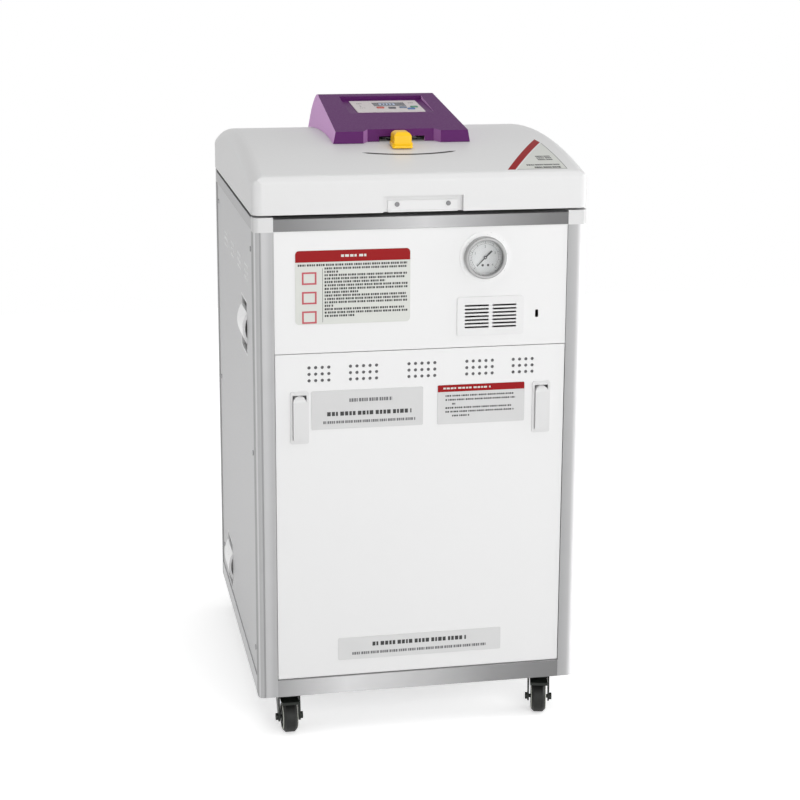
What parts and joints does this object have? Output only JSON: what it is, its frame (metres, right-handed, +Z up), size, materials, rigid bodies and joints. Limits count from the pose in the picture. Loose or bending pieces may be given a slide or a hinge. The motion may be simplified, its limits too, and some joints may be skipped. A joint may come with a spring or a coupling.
{
  "type": "vertical steam autoclave",
  "caption": "Upright steam autoclave on casters: silver-framed white cabinet, pressure gauge, drop-front door and a rear-hinged crowned lid with a lever lock and a keypad housing.",
  "frame": {"origin": "centre of the cabinet's plan at floor level, between the four casters", "axes": "+X to the right seen from the front, +Y to the back, +Z up"},
  "size_m": [0.5208, 0.609, 0.966],
  "materials": {
    "panel_white": "satin",
    "post_silver": "satin",
    "cap_chrome": "polished",
    "frame_silver": "satin",
    "tray_steel": "satin",
    "grip_white": "satin",
    "screw_steel": "satin",
    "grille_white": "satin",
    "gauge_steel": "polished",
    "dial_white": "matte",
    "clear_glass": "clear",
    "needle_black": "matte",
    "notice_print": "satin",
    "chamber_steel": "brushed",
    "heater_steel": "oxidised",
    "basket_steel": "brushed",
    "valve_brass": "satin",
    "bottle_clear": "translucent",
    "black_plastic": "satin",
    "caster_steel": "satin",
    "hinge_steel": "satin",
    "latch_chrome": "satin",
    "plate_silver": "satin",
    "lid_silver": "metallic paint",
    "lid_steel": "satin",
    "housing_purple": "satin",
    "overlay_grey": "satin",
    "display_dark": "glossy",
    "seal_red": "matte",
    "lever_steel": "satin",
    "knob_yellow": "satin",
    "key_red": "satin",
    "key_dark": "satin",
    "key_grey": "satin",
    "key_green": "satin",
    "key_blue": "satin",
    "wheel_rubber": "satin"
  },
  "bodies": {
    "cabinet": {"base_tray": "tray_steel", "corner_posts": "post_silver", "top_deck": "frame_silver", "corner_caps": "cap_chrome", "front_panel": "panel_white", "side_panel_left": "panel_white", "side_panel_right": "panel_white", "back_panel": "panel_white", "panel_screws": "screw_steel", "grips_left": "grip_white", "grips_right": "grip_white", "vent_grille": "grille_white", "gauge_case": "gauge_steel", "gauge_dial": "dial_white", "gauge_glass": "clear_glass", "notice_plate": "notice_print", "chamber": "chamber_steel", "heater": "heater_steel", "basket_lower": "basket_steel", "basket_upper": "basket_steel", "safety_valve": "valve_brass", "pipes": "valve_brass", "drain_valve": "valve_brass", "condensate_bottle": "bottle_clear", "cable_gland": "black_plastic", "caster_plates": "caster_steel", "hinge_brackets": "hinge_steel"},
    "needle": {"gauge_needle": "needle_black"},
    "door": {"door": "panel_white", "latch_boxes": "latch_chrome", "door_plates": "plate_silver"},
    "latch_left": {"latch_paddle_left": "latch_chrome"},
    "latch_right": {"latch_paddle_right": "latch_chrome"},
    "lid": {"lid_cover": "lid_silver", "lid_frame": "lid_steel", "pull_plate": "grip_white", "pull_screws": "screw_steel", "control_housing": "housing_purple", "control_overlay": "overlay_grey", "display": "display_dark", "pressure_lid": "chamber_steel", "lid_seal": "seal_red"},
    "lock": {"lock_ring": "lid_steel", "lock_lever": "lever_steel", "lock_knob": "knob_yellow"},
    "key_red": {"key_red": "key_red"},
    "key_dark": {"key_dark": "key_dark"},
    "key_grey": {"key_grey": "key_grey"},
    "key_green": {"key_green": "key_green"},
    "key_blue": {"key_blue": "key_blue"},
    "caster_front_left": {"fork_front_left": "caster_steel"},
    "wheel_front_left": {"wheel_front_left": "wheel_rubber"},
    "pedal_left": {"pedal_left": "caster_steel"},
    "caster_front_right": {"fork_front_right": "caster_steel"},
    "wheel_front_right": {"wheel_front_right": "wheel_rubber"},
    "pedal_right": {"pedal_right": "caster_steel"},
    "caster_rear_left": {"fork_rear_left": "caster_steel"},
    "wheel_rear_left": {"wheel_rear_left": "wheel_rubber"},
    "caster_rear_right": {"fork_rear_right": "caster_steel"},
    "wheel_rear_right": {"wheel_rear_right": "wheel_rubber"}
  },
  "joints": [
    {"name": "lid_hinge", "type": "hinge", "parent": "cabinet", "child": "lid", "pos_m": [0, 0.2995, 0.824], "axis": [-1, 0, 0], "range_deg": [0, 80]},
    {"name": "lock_turn", "type": "hinge", "parent": "lid", "child": "lock", "pos_m": [0, 0, 0.875], "axis": [0, 0, 1], "range_deg": [0, 15]},
    {"name": "door_tilt", "type": "hinge", "parent": "cabinet", "child": "door", "pos_m": [0, -0.2845, 0.1002], "axis": [1, 0, 0], "range_deg": [0, 60]},
    {"name": "latch_left_pull", "type": "hinge", "parent": "door", "child": "latch_left", "pos_m": [-0.188, -0.2857, 0.5405], "axis": [-1, 0, 0], "range_deg": [0, 45], "stiffness_Nm_per_rad": 0.08, "springref_deg": -28.65},
    {"name": "latch_right_pull", "type": "hinge", "parent": "door", "child": "latch_right", "pos_m": [0.188, -0.2857, 0.5405], "axis": [-1, 0, 0], "range_deg": [0, 45], "stiffness_Nm_per_rad": 0.08, "springref_deg": -28.65},
    {"name": "needle_turn", "type": "hinge", "parent": "cabinet", "child": "needle", "pos_m": [0.095, -0.2965, 0.754], "axis": [0, 1, 0], "range_deg": [0, 270], "stiffness_Nm_per_rad": 0.0005, "springref_deg": -11.46},
    {"name": "key_red_press", "type": "slide", "parent": "lid", "child": "key_red", "axis": [0, 0.1045, -0.9945], "range_m": [0, 0.0006], "stiffness_N_per_m": 500, "springref_m": -0.0006},
    {"name": "key_dark_press", "type": "slide", "parent": "lid", "child": "key_dark", "axis": [0, 0.1045, -0.9945], "range_m": [0, 0.0006], "stiffness_N_per_m": 500, "springref_m": -0.0006},
    {"name": "key_grey_press", "type": "slide", "parent": "lid", "child": "key_grey", "axis": [0, 0.1045, -0.9945], "range_m": [0, 0.0006], "stiffness_N_per_m": 500, "springref_m": -0.0006},
    {"name": "key_green_press", "type": "slide", "parent": "lid", "child": "key_green", "axis": [0, 0.1045, -0.9945], "range_m": [0, 0.0006], "stiffness_N_per_m": 500, "springref_m": -0.0006},
    {"name": "key_blue_press", "type": "slide", "parent": "lid", "child": "key_blue", "axis": [0, 0.1045, -0.9945], "range_m": [0, 0.0006], "stiffness_N_per_m": 500, "springref_m": -0.0006},
    {"name": "swivel_front_left", "type": "hinge", "parent": "cabinet", "child": "caster_front_left", "pos_m": [-0.205, -0.25, 0.06], "axis": [0, 0, 1], "continuous": true},
    {"name": "roll_front_left", "type": "hinge", "parent": "caster_front_left", "child": "wheel_front_left", "pos_m": [-0.205, -0.266, 0.025], "axis": [1, 0, 0], "continuous": true},
    {"name": "brake_left", "type": "hinge", "parent": "caster_front_left", "child": "pedal_left", "pos_m": [-0.205, -0.257, 0.0545], "axis": [1, 0, 0], "range_deg": [0, 10]},
    {"name": "swivel_front_right", "type": "hinge", "parent": "cabinet", "child": "caster_front_right", "pos_m": [0.205, -0.25, 0.06], "axis": [0, 0, 1], "continuous": true},
    {"name": "roll_front_right", "type": "hinge", "parent": "caster_front_right", "child": "wheel_front_right", "pos_m": [0.20113, -0.26553, 0.025], "axis": [0.9703, -0.2419, 0], "continuous": true},
    {"name": "brake_right", "type": "hinge", "parent": "caster_front_right", "child": "pedal_right", "pos_m": [0.20331, -0.25679, 0.0545], "axis": [0.9703, -0.2419, 0], "range_deg": [0, 10]},
    {"name": "swivel_rear_left", "type": "hinge", "parent": "cabinet", "child": "caster_rear_left", "pos_m": [-0.205, 0.25, 0.06], "axis": [0, 0, 1], "continuous": true},
    {"name": "roll_rear_left", "type": "hinge", "parent": "caster_rear_left", "child": "wheel_rear_left", "pos_m": [-0.19953, 0.26504, 0.025], "axis": [-0.9397, 0.342, 0], "continuous": true},
    {"name": "swivel_rear_right", "type": "hinge", "parent": "cabinet", "child": "caster_rear_right", "pos_m": [0.205, 0.25, 0.06], "axis": [0, 0, 1], "continuous": true},
    {"name": "roll_rear_right", "type": "hinge", "parent": "caster_rear_right", "child": "wheel_rear_right", "pos_m": [0.19824, 0.2645, 0.025], "axis": [-0.9063, -0.4226, 0], "continuous": true}
  ]
}
